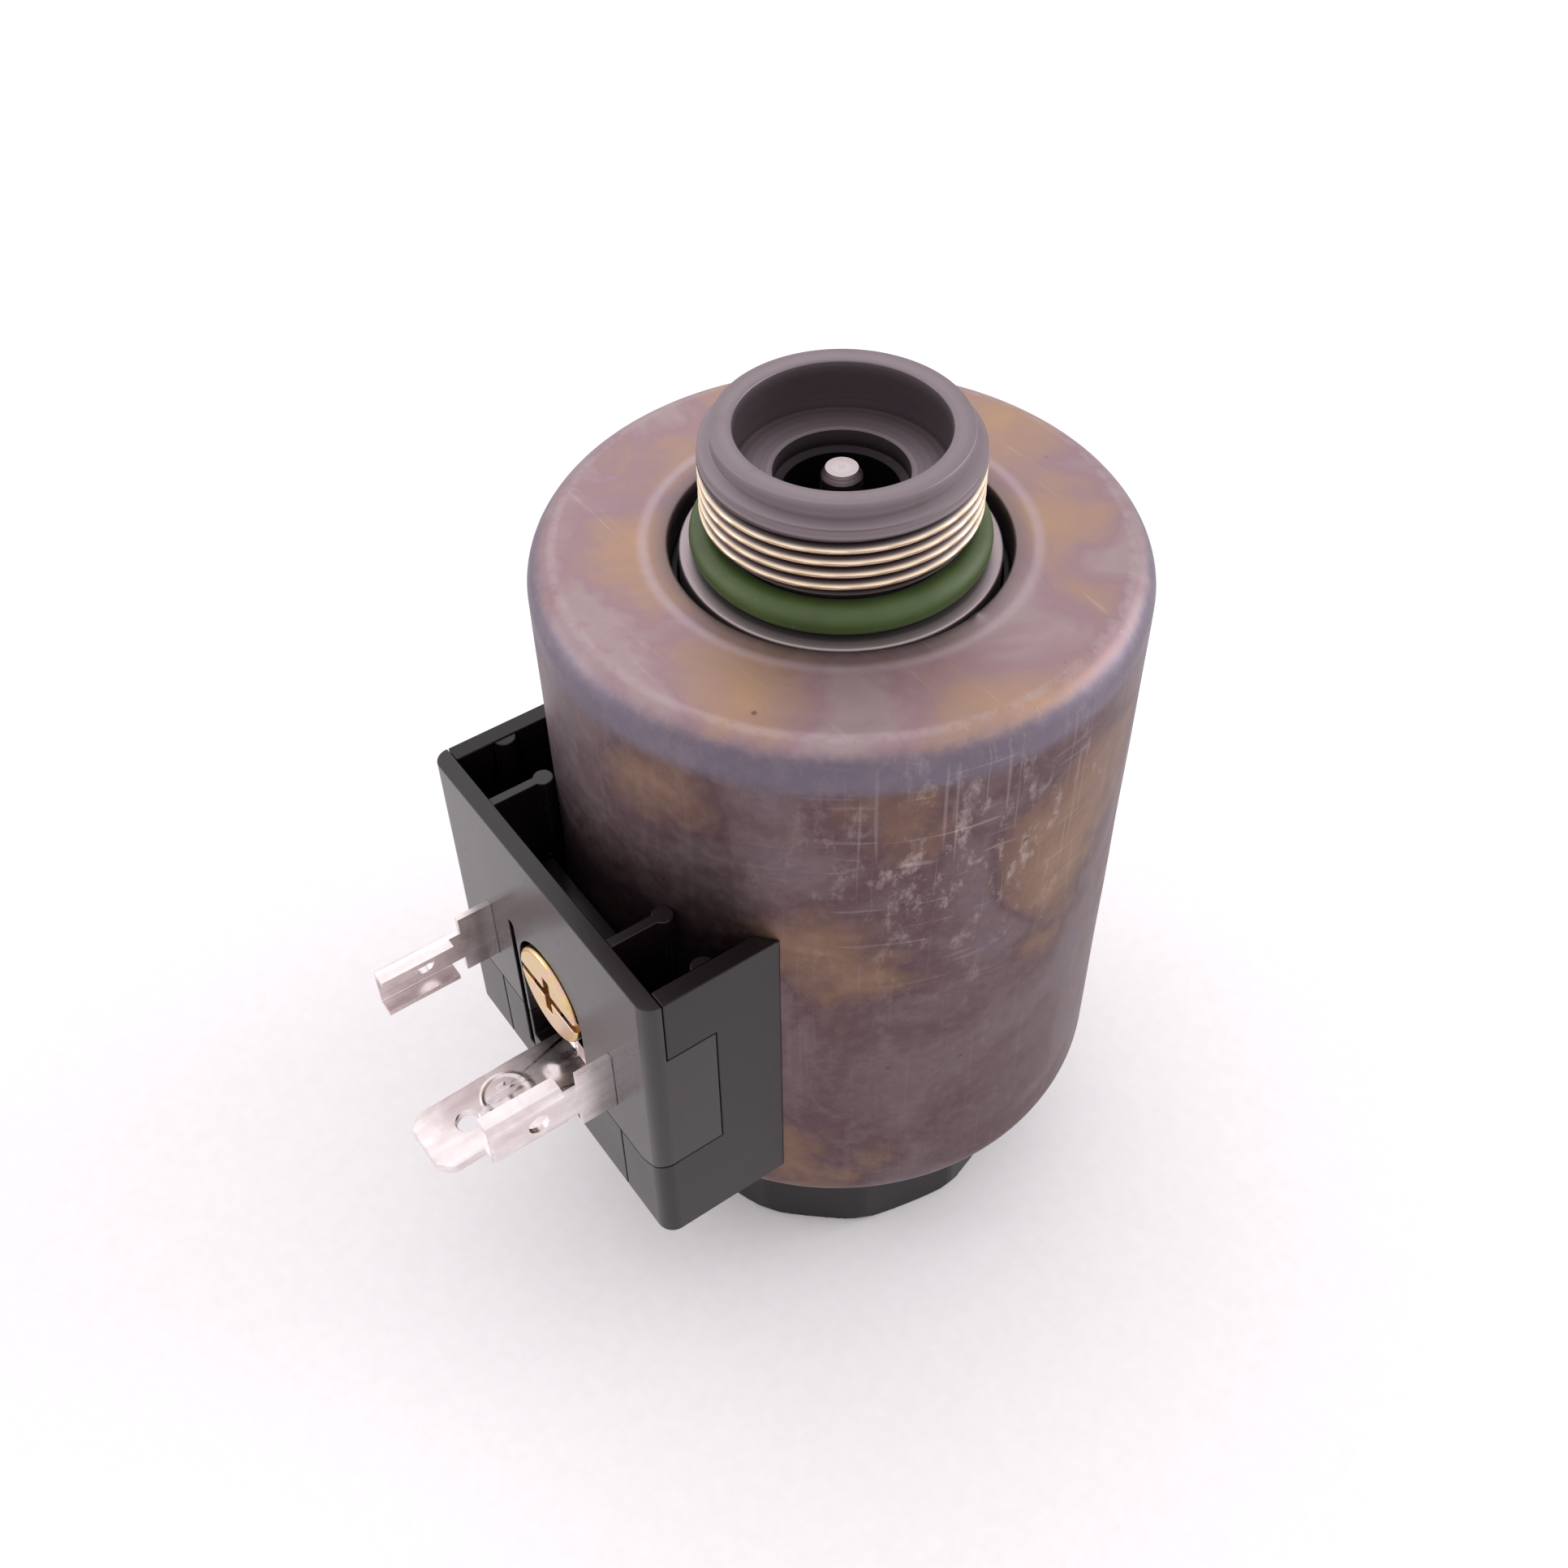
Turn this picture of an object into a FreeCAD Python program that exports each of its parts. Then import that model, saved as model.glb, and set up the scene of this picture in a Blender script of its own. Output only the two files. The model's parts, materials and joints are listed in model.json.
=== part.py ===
"""Wet-pin solenoid actuator for a size 6 hydraulic directional valve.

A pressure-tight armature tube screws into the valve body by its threaded spigot. The coil slides
over the tube and a plastic nut holds it on. Everything is in millimetres. Z is the tube's axis, with
+Z out of the spigot, and z = 0 is the collar face that seats on the valve body. The connector base
faces -Y.
"""
import FreeCAD, Part
import os
from math import cos, pi, sin, tan

V = FreeCAD.Vector
AXIS = V(0, 0, 1)

# ---- driving dimensions -------------------------------------------------------------------------
# armature tube
TUBE_R = 11.6               # outside of the tube and of its collar
TUBE_WALL = 1.1
SPIGOT_TOP = 10.15          # end face of the spigot above the seat
SPIGOT_BORE_R = 7.5
SPIGOT_BORE_DEPTH = 3.95
THREAD_R = 10.0             # M20 x 1, at both ends of the tube
THREAD_PITCH = 1.0
THREAD_DEPTH = 0.61
FIRST_CREST = 4.0           # height of the spigot thread's lowest full crest
NECK_R = 8.35               # relief under the thread, where the O-ring lies
O_RING_SECTION = 2.4
PIN_BORE_R = 4.2
PIN_R = 1.48                # push pin, which is also the armature's guide rod
PIN_TOP = 6.5
PIN_TAIL = -52.6
BUSH_R = 3.0                # bore of the two guide bushes' seats
PLUG_GROOVE_R = 8.7         # floor of the end plug's seal groove
POLE_FACE = -19.0
BARRIER_TOP = -13.0
BARRIER_BOTTOM = -18.0
TUBE_BOTTOM = -52.0
STUD_BOTTOM = -64.3         # end of the rear thread
STROKE = 2.8

# coil
CAN_R = 22.5
CAN_WALL = 2.2
CAN_TOP = 0.65
CAN_BOTTOM = -52.35
CAN_TOP_PLATE = 3.6
CAN_LIP = 1.5               # rolled edge that holds the rear yoke disc
CAN_HOLE_R = 12.35
COIL_BORE_R = 11.8
YOKE_THICKNESS = 4.0
BOBBIN_WALL = 1.2
BOBBIN_FLANGE = 1.2
BOBBIN_TOP = CAN_TOP - CAN_TOP_PLATE
BOBBIN_BOTTOM = CAN_BOTTOM + CAN_LIP + YOKE_THICKNESS
WOUND_TOP = BOBBIN_TOP - BOBBIN_FLANGE
WOUND_BOTTOM = BOBBIN_BOTTOM + BOBBIN_FLANGE
WINDING_R = 19.0

# nut
NUT_CORNER_R = 17.0
NUT_SIDES = 12
NUT_TURN = 3.0              # angle of one corner from +X, in degrees
NUT_TOP = CAN_BOTTOM
NUT_BOTTOM = -65.5

# connector base, to the form A pattern
BASE_HALF = 15.35
BASE_FACE = -27.8
BASE_WALL = 1.5
BASE_CORNER = 1.35          # rounding of the two upright front edges
BASE_TOP = -17.8
RIB_TOP = BASE_TOP - 0.1    # the ribs inside end just under the rim
BASE_BOTTOM = -47.0
PLATE_BOTTOM = -39.0        # seam between the terminal block's face and the shell
PIN_ROW = -32.4             # height of the two contact pins
PIN_PITCH = 18.0
PIN_OUTER = PIN_PITCH / 2 + 0.4
PIN_SHEET = 0.5
PIN_ROOT_HALF = 3.1
PIN_DEPTH = 1.8             # how far the contact's flanges are folded in
LEAD_X = PIN_OUTER - PIN_SHEET / 2
LEAD_R = 0.5
SCREW_Z = -31.7
SCREW_HEAD_R = 4.2
RECESS_R = 4.65
RECESS_BOTTOM = -42.3
FOOT_BACK = -25.1           # back of the ground blade's upright foot
BLADE_TOP = -41.4
BLADE_WIDTH = 6.3
BLADE_T = 0.8
SEAM = 0.08                 # gap left along a visible seam
FIT = 0.05                  # gap between neighbours that are fixed together


# ---- helpers ------------------------------------------------------------------------------------
def rounded_wire(corners, place):
    """Closed wire through (u, v, radius) corners. place turns u, v into a point."""
    points = [place(u, v) for u, v, _ in corners]
    count = len(points)
    starts, mids, ends = [], [], []
    for i, (_, _, radius) in enumerate(corners):
        here = points[i]
        back = (points[i - 1] - here).normalize()
        ahead = (points[(i + 1) % count] - here).normalize()
        half = back.getAngle(ahead) / 2
        reach = radius / tan(half)
        starts.append(here + back * reach)
        ends.append(here + ahead * reach)
        mids.append(here + (back + ahead).normalize() * (radius / sin(half) - radius) if radius else here)
    edges = []
    for i in range(count):
        if corners[i][2]:
            edges.append(Part.Arc(starts[i], mids[i], ends[i]).toShape())
        following = starts[(i + 1) % count]
        if ends[i].distanceToPoint(following) > 1e-6:
            edges.append(Part.LineSegment(ends[i], following).toShape())
    return Part.Wire(edges)


def with_radius(corners):
    """Corners given as (u, v) are sharp."""
    return [c if len(c) == 3 else (c[0], c[1], 0) for c in corners]


def lathe(corners):
    """Solid of revolution about Z from an (r, z) outline."""
    wire = rounded_wire(with_radius(corners), lambda r, z: V(r, 0, z))
    return Part.Face(wire).revolve(V(0, 0, 0), AXIS, 360)


def prism_y(corners, y_low, y_high):
    """Outline in X and Z, from y_low to y_high."""
    wire = rounded_wire(with_radius(corners), lambda x, z: V(x, y_low, z))
    return Part.Face(wire).extrude(V(0, y_high - y_low, 0))


def prism_z(corners, z_low, z_high):
    """Outline in X and Y, from z_low to z_high."""
    wire = rounded_wire(with_radius(corners), lambda x, y: V(x, y, z_low))
    return Part.Face(wire).extrude(V(0, 0, z_high - z_low))


def ring(r_in, r_out, z_low, z_high, edge=0.0):
    return lathe([(r_in, z_low), (r_out, z_low, edge), (r_out, z_high, edge), (r_in, z_high)])


def rod(radius, z_low, z_high):
    return Part.makeCylinder(radius, z_high - z_low, V(0, 0, z_low))


def rod_y(radius, x, z, y_low, y_high):
    return Part.makeCylinder(radius, y_high - y_low, V(x, y_low, z), V(0, 1, 0))


def block(x, y, z):
    """Box from three (low, high) pairs."""
    return Part.makeBox(x[1] - x[0], y[1] - y[0], z[1] - z[0], V(x[0], y[0], z[0]))


def torus(middle_r, section, z):
    return Part.makeTorus(middle_r, section / 2, V(0, 0, z), AXIS)


def mirrored(shape):
    """Copy on the other side of the plane x = 0."""
    return shape.mirror(V(0, 0, 0), V(1, 0, 0))


def both_sides(shape):
    return shape.fuse(mirrored(shape))


def largest(shape):
    """The biggest solid of a cut, which drops crumbs behind a curved wall."""
    return max(shape.Solids, key=lambda solid: solid.Volume)


def thread_corners(z_start, z_end):
    """Outline of the thread's flanks, as V grooves with flat crests, from z_start towards z_end."""
    step = -THREAD_PITCH if z_end < z_start else THREAD_PITCH
    turns = int(abs(z_end - z_start) / THREAD_PITCH)
    corners = []
    for i in range(turns):
        z = z_start + i * step
        corners.append((THREAD_R, z + 0.12 * step))
        corners.append((THREAD_R - THREAD_DEPTH, z + 0.47 * step))
        corners.append((THREAD_R - THREAD_DEPTH, z + 0.53 * step))
        corners.append((THREAD_R, z + 0.88 * step))
    return corners


# ---- armature tube ------------------------------------------------------------------------------
def spigot_body():
    """Front pole with the collar, thread and spigot, turned from one bar."""
    ledge = SPIGOT_TOP - SPIGOT_BORE_DEPTH
    pole_r = TUBE_R - TUBE_WALL - 0.1
    root_r = THREAD_R - THREAD_DEPTH
    undercut_r = SPIGOT_BORE_R + 0.12
    step_r = 4.8
    rod_gap_r = PIN_R + 0.5
    bush_seat = POLE_FACE + 1.5
    outside = [(TUBE_R, BARRIER_TOP), (TUBE_R, 0, 0.2), (NECK_R, 0, 0.15), (NECK_R, 2.95, 0.15)]
    outside += [(root_r, 2.95), (root_r, FIRST_CREST - 0.47), (THREAD_R, FIRST_CREST - 0.12)]
    outside += thread_corners(FIRST_CREST, FIRST_CREST + 4 * THREAD_PITCH)
    outside += [(THREAD_R, 8.2), (9.9, 8.2), (9.9, 8.62), (9.82, 8.68), (9.9, 8.74)]
    outside += [(9.05, 9.0), (9.05, SPIGOT_TOP, 0.12)]
    inside = [(SPIGOT_BORE_R, SPIGOT_TOP, 0.15), (SPIGOT_BORE_R, ledge + 0.9)]
    inside += [(undercut_r, ledge + 0.8), (undercut_r, ledge + 0.1), (step_r, ledge, 0.1)]
    inside += [(step_r, ledge - 1.3), (PIN_BORE_R, ledge - 1.5), (PIN_BORE_R, -8.0)]
    inside += [(BUSH_R, -8.0), (BUSH_R, bush_seat), (rod_gap_r, bush_seat), (rod_gap_r, POLE_FACE)]
    pole = [(pole_r, POLE_FACE, 0.4), (pole_r, BARRIER_TOP)]
    return lathe(list(reversed(inside + pole + outside)))


def spigot_o_ring():
    section = O_RING_SECTION
    return torus(NECK_R + FIT + section / 2, section, section / 2 + 0.01)


def barrier_ring():
    """Non-magnetic ring that keeps the flux out of the tube wall beside the air gap."""
    return ring(TUBE_R - TUBE_WALL, TUBE_R, BARRIER_BOTTOM, BARRIER_TOP)


def armature_tube():
    return ring(TUBE_R - TUBE_WALL, TUBE_R, TUBE_BOTTOM, BARRIER_BOTTOM)


def stop_disc():
    """Thin non-magnetic disc that keeps the armature from sticking to the pole."""
    return ring(PIN_R + 1.0, 9.4, POLE_FACE - 0.3, POLE_FACE)


def guide_bush(z_low, z_high):
    return ring(PIN_R + 0.06, BUSH_R - FIT, z_low, z_high, 0.2)


def tube_end_plug():
    """Closes the tube's rear end and carries the thread for the coil nut."""
    flange_r = TUBE_R - TUBE_WALL - FIT
    relief_r = 9.3
    clip_groove_r = 3.45
    outside = [(flange_r, -48.6, 0.3), (flange_r, -49.3), (PLUG_GROOVE_R, -49.3, 0.1)]
    outside += [(PLUG_GROOVE_R, -51.2, 0.1), (flange_r, -51.2), (flange_r, TUBE_BOTTOM)]
    outside += [(TUBE_R, TUBE_BOTTOM), (TUBE_R, -52.25), (relief_r, -52.25), (relief_r, -53.6)]
    outside += [(THREAD_R, -54.2)]
    outside += thread_corners(-54.3, STUD_BOTTOM + 0.9)
    outside += [(THREAD_R, STUD_BOTTOM + 0.7), (THREAD_R - 0.7, STUD_BOTTOM)]
    inside = [(BUSH_R, STUD_BOTTOM, 0.3), (BUSH_R, -63.6), (clip_groove_r, -63.6)]
    inside += [(clip_groove_r, -63.05), (BUSH_R, -63.05), (BUSH_R, -48.6)]
    return lathe(outside + inside)


def end_plug_seal():
    section = 1.6
    return torus(PLUG_GROOVE_R + FIT + section / 2, section, -50.25)


def override_clip():
    """Snap ring that keeps the override pin in. Its gap faces +Y."""
    clip = ring(2.1, 3.4, -63.55, -63.1)
    return clip.cut(block((-0.9, 0.9), (1.0, 4.0), (-64.0, -62.5)))


# ---- armature -----------------------------------------------------------------------------------
def armature():
    """Plunger with two oil passages and a turned nose."""
    top = POLE_FACE - 0.3 - STROKE - 0.1
    bottom = top - 25.0
    outer_r = TUBE_R - TUBE_WALL - 0.12
    body = lathe([(PIN_R + 0.02, bottom), (outer_r, bottom, 0.5), (outer_r, top, 0.5), (PIN_R + 0.02, top)])
    passage = Part.makeCylinder(1.5, 40, V(6.0, 0, -60))
    return body.cut(both_sides(passage))


def push_pin():
    tip = [(PIN_R, PIN_TOP - 0.6), (PIN_R - 0.32, PIN_TOP), (0, PIN_TOP)]
    return lathe([(0, PIN_TAIL), (PIN_R, PIN_TAIL, 0.3)] + tip)


def override_pin():
    """Stepped pin: nose towards the armature, sealed shank, and the button that is pressed."""
    nose_r, shank_r, groove_r, button_r = 1.4, 2.95, 1.75, 2.0
    return lathe([(0, -52.8), (nose_r, -52.8, 0.2), (nose_r, -56.0), (shank_r, -56.0, 0.2),
                  (shank_r, -58.6), (groove_r, -58.6), (groove_r, -59.95), (shank_r, -59.95),
                  (shank_r, -63.0), (button_r, -63.0), (button_r, -64.1, 0.3), (0, -64.1)])


def override_o_ring():
    return torus(1.75 + 0.02 + 0.58, 1.16, -59.27)


# ---- nut ----------------------------------------------------------------------------------------
def nut_seal():
    """O-ring that keeps water out of the gap between coil and tube."""
    return torus(12.95, 1.8, NUT_TOP - 0.95)


def coil_nut():
    """Plastic nut with twelve flats, and a recess at the top for its seal."""
    corners = []
    for i in range(NUT_SIDES):
        turn = (NUT_TURN + 360 * i / NUT_SIDES) * pi / 180
        corners.append((NUT_CORNER_R * cos(turn), NUT_CORNER_R * sin(turn), 0.8))
    outer = prism_z(corners, NUT_BOTTOM, NUT_TOP)
    rim_r = NUT_CORNER_R - 0.1
    envelope = lathe([(0, NUT_BOTTOM), (rim_r, NUT_BOTTOM, 0.9), (rim_r, NUT_TOP, 0.5), (0, NUT_TOP)])
    mouth_r, thread_r, recess_r = 11.2, THREAD_R + 0.15, 14.1
    bore = lathe([(0, NUT_BOTTOM - 1), (mouth_r, NUT_BOTTOM - 1), (mouth_r, NUT_BOTTOM + 0.1),
                  (thread_r, NUT_BOTTOM + 1.1), (thread_r, -54.4), (recess_r, -54.4),
                  (recess_r, NUT_TOP + 1), (0, NUT_TOP + 1)])
    return outer.common(envelope).cut(bore)


# ---- coil ---------------------------------------------------------------------------------------
def lead_windows():
    """Holes in the can that the two lead wires pass through."""
    window = block((7.4, 11.4), (-24.0, -15.0), (PIN_ROW - 3.0, PIN_ROW + 3.0))
    return both_sides(window)


def coil_housing():
    """Drawn can: top plate in one piece with the wall, rear edge rolled in over the yoke disc."""
    inner_r = CAN_R - CAN_WALL
    plate = CAN_TOP - CAN_TOP_PLATE
    lip_top = CAN_BOTTOM + CAN_LIP
    lip_r = 15.0
    can = lathe([(CAN_HOLE_R, CAN_TOP, 0.2), (CAN_HOLE_R, plate), (inner_r, plate, 0.8),
                 (inner_r, lip_top, 0.8), (lip_r, lip_top), (lip_r, CAN_BOTTOM, 0.4),
                 (CAN_R, CAN_BOTTOM, 3.1), (CAN_R, CAN_TOP, 2.2)])
    return can.cut(lead_windows())


def yoke_disc():
    bottom = CAN_BOTTOM + CAN_LIP
    return ring(COIL_BORE_R, CAN_R - CAN_WALL - FIT, bottom, bottom + YOKE_THICKNESS, 0.9)


def bobbin():
    wall_r = COIL_BORE_R + BOBBIN_WALL
    rim_r = WINDING_R + 0.4
    return lathe([(COIL_BORE_R, BOBBIN_BOTTOM), (rim_r, BOBBIN_BOTTOM, 0.3), (rim_r, WOUND_BOTTOM),
                  (wall_r, WOUND_BOTTOM), (wall_r, WOUND_TOP), (rim_r, WOUND_TOP),
                  (rim_r, BOBBIN_TOP, 0.3), (COIL_BORE_R, BOBBIN_TOP)])


def winding():
    return ring(COIL_BORE_R + BOBBIN_WALL + FIT, WINDING_R, WOUND_BOTTOM + FIT, WOUND_TOP - FIT)


def encapsulation():
    """Resin that fills the can round the winding."""
    fill = ring(WINDING_R + FIT, CAN_R - CAN_WALL - FIT, WOUND_BOTTOM + FIT, WOUND_TOP - FIT)
    hole = rod_y(LEAD_R + FIT, LEAD_X, PIN_ROW, -24, -10)
    return fill.cut(both_sides(hole))


def coil_seal():
    """Lip ring in the can's top hole, round the tube."""
    return ring(COIL_BORE_R, CAN_HOLE_R - FIT, BOBBIN_TOP, BOBBIN_TOP + 0.9, 0.2)


# ---- connector base -----------------------------------------------------------------------------
def coil_clearance():
    return rod(CAN_R + FIT, -60, 5)


def recess_tool():
    """Space of the sunk ground screw and of the slit beside it, as a tool for cutting."""
    top = SCREW_Z + RECESS_R
    round_r = RECESS_R - 0.01
    slot = prism_y([(-RECESS_R, RECESS_BOTTOM, 0.3), (RECESS_R, RECESS_BOTTOM, 0.3),
                    (RECESS_R, top, round_r), (-RECESS_R, top, round_r)], BASE_FACE - 1, FOOT_BACK)
    slit = prism_y([(-5.85, -44.3, 0.2), (-5.05, -44.3, 0.2), (-5.05, -28.1, 0.35),
                    (-5.85, -28.1, 0.35)], BASE_FACE - 1, -25.6)
    return slot.fuse(slit)


def front_outline(z_low, z_high, gap):
    """Outline of the base in X and Y down to the back of its front wall, front corners rounded."""
    back = BASE_FACE + BASE_WALL - gap
    return prism_z([(-BASE_HALF, back), (-BASE_HALF, BASE_FACE, BASE_CORNER),
                    (BASE_HALF, BASE_FACE, BASE_CORNER), (BASE_HALF, back)], z_low, z_high)


def plate_outline(grow):
    """Face plate in X and Z: straight lower seam that rises at both sides. grow widens it."""
    low = PLATE_BOTTOM - grow
    side = low + 1.6
    far = BASE_HALF + 1
    bend_x = 12.6
    return prism_y([(-far, BASE_TOP + 1), (-far, side), (-BASE_HALF, side), (-bend_x, low, 2.0),
                    (bend_x, low, 2.0), (BASE_HALF, side), (far, side), (far, BASE_TOP + 1)],
                   BASE_FACE - 1, -15.0)


def latch(grow):
    """Snap tab of the terminal block, lying flush in the shell's side wall."""
    back = BASE_FACE + BASE_WALL
    x_span = (BASE_HALF - 0.8 - grow, BASE_HALF + 2 * grow)
    return block(x_span, (back - 0.1, -22.2 + grow), (-37.35 - grow, -24.2 + grow))


def connector_shell():
    """Box behind the contacts, open at the top, with a boss in each rear corner."""
    back = BASE_FACE + BASE_WALL
    side = block((BASE_HALF - BASE_WALL, BASE_HALF), (back, -10.0), (BASE_BOTTOM, BASE_TOP))
    side = side.fuse(Part.makeCylinder(0.9, RIB_TOP - BASE_BOTTOM, V(13.95, -22.1, BASE_BOTTOM)))
    floor = block((-BASE_HALF, BASE_HALF), (back, -10.0), (BASE_BOTTOM, BASE_BOTTOM + BASE_WALL))
    lower_front = front_outline(BASE_BOTTOM, PLATE_BOTTOM + 3, 0).cut(plate_outline(SEAM))
    shell = both_sides(side).fuse(floor).fuse(lower_front)
    shell = shell.cut(coil_clearance()).cut(recess_tool())
    shell = shell.cut(both_sides(latch(SEAM)))
    line_x = PIN_PITCH / 2 + 0.3
    line = block((line_x, line_x + 0.12), (BASE_FACE - 1, BASE_FACE + 0.1), (BASE_BOTTOM - 1, PLATE_BOTTOM))
    return largest(shell.cut(both_sides(line)).removeSplitter())


def terminal_block():
    """Face plate, its core behind the screw, and the two ribs that the contact pins lie against."""
    back = BASE_FACE + BASE_WALL
    floor_top = BASE_BOTTOM + BASE_WALL + FIT
    plate = front_outline(PLATE_BOTTOM - 1, BASE_TOP, SEAM).common(plate_outline(0))
    core = block((-7.0, 7.0), (back - 0.2, -22.7), (floor_top, -25.3))
    rib = block((8.0, 8.82), (back - 0.2, -22.0), (floor_top, RIB_TOP))
    rib = rib.fuse(Part.makeCylinder(0.8, RIB_TOP - BASE_BOTTOM - 2, V(8.4, -21.85, BASE_BOTTOM + 2)))
    tie = block((6.9, 8.1), (back - 0.2, -23.4), (-44.0, -40.0))
    body = plate.fuse(core).fuse(both_sides(rib)).fuse(both_sides(tie)).fuse(both_sides(latch(0)))
    lower = block((-20, 20), (BASE_FACE - 2, back + SEAM), (-50, PLATE_BOTTOM - SEAM))
    slot_half = PIN_ROOT_HALF + FIT
    pin_slot = block((PIN_OUTER - PIN_SHEET - FIT, PIN_OUTER + FIT), (-29, -20),
                     (PIN_ROW - slot_half, PIN_ROW + slot_half))
    nut_half = 2.85
    nut_pocket = block((-nut_half, nut_half), (FOOT_BACK - 0.1, -22.0),
                       (SCREW_Z - nut_half, SCREW_Z + nut_half))
    strap_pocket = block((-2.6, 2.6), (-23.15, -22.0), (-38.0, SCREW_Z + nut_half))
    lead_hole = rod_y(LEAD_R + FIT, LEAD_X, PIN_ROW, -23.8, -20)
    body = body.cut(lower).cut(recess_tool()).cut(both_sides(pin_slot)).cut(both_sides(lead_hole))
    body = body.cut(nut_pocket).cut(strap_pocket)
    return largest(body.cut(coil_clearance()).removeSplitter())


def contact_pin(side):
    """Sheet contact: flat root, narrowed neck, and a channel folded towards the middle."""
    outer = PIN_OUTER
    t = PIN_SHEET
    inner = outer - t
    tip_y = -38.3
    root = prism_z([(inner, -30.8), (outer, -30.8), (outer, -23.7), (inner, -23.7)],
                   PIN_ROW - PIN_ROOT_HALF, PIN_ROW + PIN_ROOT_HALF)
    neck = block((inner, outer), (-32.1, -30.7), (PIN_ROW - 1.5, PIN_ROW + 1.5))
    low, high, deep = PIN_ROW - 2.05, PIN_ROW + 2.05, outer - PIN_DEPTH
    channel = prism_y([(deep, low), (outer, low, 0.65), (outer, high, 0.65), (deep, high),
                       (deep, high - t), (inner, high - t, 0.15), (inner, low + t, 0.15),
                       (deep, low + t)], tip_y, -32.0)
    bevel = prism_z([(deep - 1, -38.4), (outer + 1, -38.4), (outer + 1, -37.5),
                     (outer - 0.35, -38.31), (deep - 1, -38.31)], low - 1, high + 1)
    pin = root.fuse(neck).fuse(channel).cut(bevel)
    hole = Part.makeCylinder(0.9, 4, V(outer - 2, -34.3, PIN_ROW), V(1, 0, 0))
    pin = pin.cut(hole).removeSplitter()
    return pin if side > 0 else mirrored(pin)


def ground_blade():
    """Flat blade with an upright foot under the screw head."""
    half = BLADE_WIDTH / 2
    tip = -40.6
    chamfer = 1.1
    foot_front = FOOT_BACK - BLADE_T
    blade = prism_z([(-half, foot_front), (-half, tip), (half, tip), (half, foot_front)],
                    BLADE_TOP - BLADE_T, BLADE_TOP)
    corner = prism_z([(half - chamfer, tip - 1), (half + 1, tip - 1), (half + 1, tip + chamfer),
                      (half, tip + chamfer), (half - chamfer, tip)], BLADE_TOP - 2, BLADE_TOP + 1)
    blade = blade.cut(both_sides(corner))
    blade = blade.cut(Part.makeCylinder(0.95, 4, V(0, -36.6, BLADE_TOP - 2)))
    foot_r = 3.9
    shoulder, waist = -36.5, -37.5
    round_r = foot_r - 0.01
    foot = prism_y([(-half, BLADE_TOP - BLADE_T), (half, BLADE_TOP - BLADE_T), (half, waist, 0.5),
                    (foot_r, shoulder, 0.5), (foot_r, SCREW_Z + foot_r, round_r),
                    (-foot_r, SCREW_Z + foot_r, round_r), (-foot_r, shoulder, 0.5),
                    (-half, waist, 0.5)], foot_front, FOOT_BACK)
    foot = foot.cut(rod_y(1.7, 0, SCREW_Z, -27, -24))
    return blade.fuse(foot).removeSplitter()


def ground_screw():
    """Yellow-passivated machine screw, with a head for a flat or a cross driver."""
    underside = FOOT_BACK - BLADE_T
    top = BASE_FACE - 0.3
    shank_r, end = 1.5, -22.85
    profile = [(0, top), (SCREW_HEAD_R, top, 0.35), (SCREW_HEAD_R, underside)]
    profile += [(shank_r, underside), (shank_r, end, 0.2), (0, end)]
    wire = rounded_wire(with_radius(profile), lambda r, y: V(r, y, SCREW_Z))
    screw = Part.Face(wire).revolve(V(0, 0, SCREW_Z), V(0, 1, 0), 360)
    slot = block((-5, 5), (top - 1, top + 0.8), (SCREW_Z - 0.45, SCREW_Z + 0.45))
    cross_depth = top + 1.3
    upright = block((-0.5, 0.5), (top - 1, cross_depth), (SCREW_Z - 2.0, SCREW_Z + 2.0))
    level = block((-2.0, 2.0), (top - 1, cross_depth), (SCREW_Z - 0.5, SCREW_Z + 0.5))
    return screw.cut(slot).cut(upright).cut(level)


def ground_nut():
    nut = block((-2.75, 2.75), (FOOT_BACK, -23.15), (SCREW_Z - 2.75, SCREW_Z + 2.75))
    return nut.cut(rod_y(1.54, 0, SCREW_Z, -27, -22))


def ground_strap():
    """Strip welded to the can, which earths it through the screw."""
    strap = block((-2.5, 2.5), (-23.15 + 0.02, -CAN_R - 0.02), (-37.9, SCREW_Z + 2.75))
    return strap.cut(rod_y(1.7, 0, SCREW_Z, -27, -22))


def lead_wire(side):
    winding_y = -(WINDING_R ** 2 - (LEAD_X - LEAD_R) ** 2) ** 0.5
    lead = rod_y(LEAD_R, LEAD_X, PIN_ROW, -23.68, winding_y - FIT)
    return lead if side > 0 else mirrored(lead)


# ---- write one STEP file per piece --------------------------------------------------------------
PIECES = {
    "spigot_body": spigot_body(),
    "spigot_o_ring": spigot_o_ring(),
    "barrier_ring": barrier_ring(),
    "armature_tube": armature_tube(),
    "stop_disc": stop_disc(),
    "front_guide_bush": guide_bush(POLE_FACE + 1.5 + FIT, -8.2),
    "rear_guide_bush": guide_bush(-52.0, -48.8),
    "tube_end_plug": tube_end_plug(),
    "end_plug_seal": end_plug_seal(),
    "override_clip": override_clip(),
    "armature": armature(),
    "push_pin": push_pin(),
    "override_pin": override_pin(),
    "override_o_ring": override_o_ring(),
    "nut_seal": nut_seal(),
    "coil_nut": coil_nut(),
    "coil_housing": coil_housing(),
    "yoke_disc": yoke_disc(),
    "bobbin": bobbin(),
    "winding": winding(),
    "encapsulation": encapsulation(),
    "coil_seal": coil_seal(),
    "connector_shell": connector_shell(),
    "terminal_block": terminal_block(),
    "contact_pin_left": contact_pin(-1),
    "contact_pin_right": contact_pin(1),
    "ground_blade": ground_blade(),
    "ground_screw": ground_screw(),
    "ground_nut": ground_nut(),
    "ground_strap": ground_strap(),
    "lead_wire_left": lead_wire(-1),
    "lead_wire_right": lead_wire(1),
}

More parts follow.
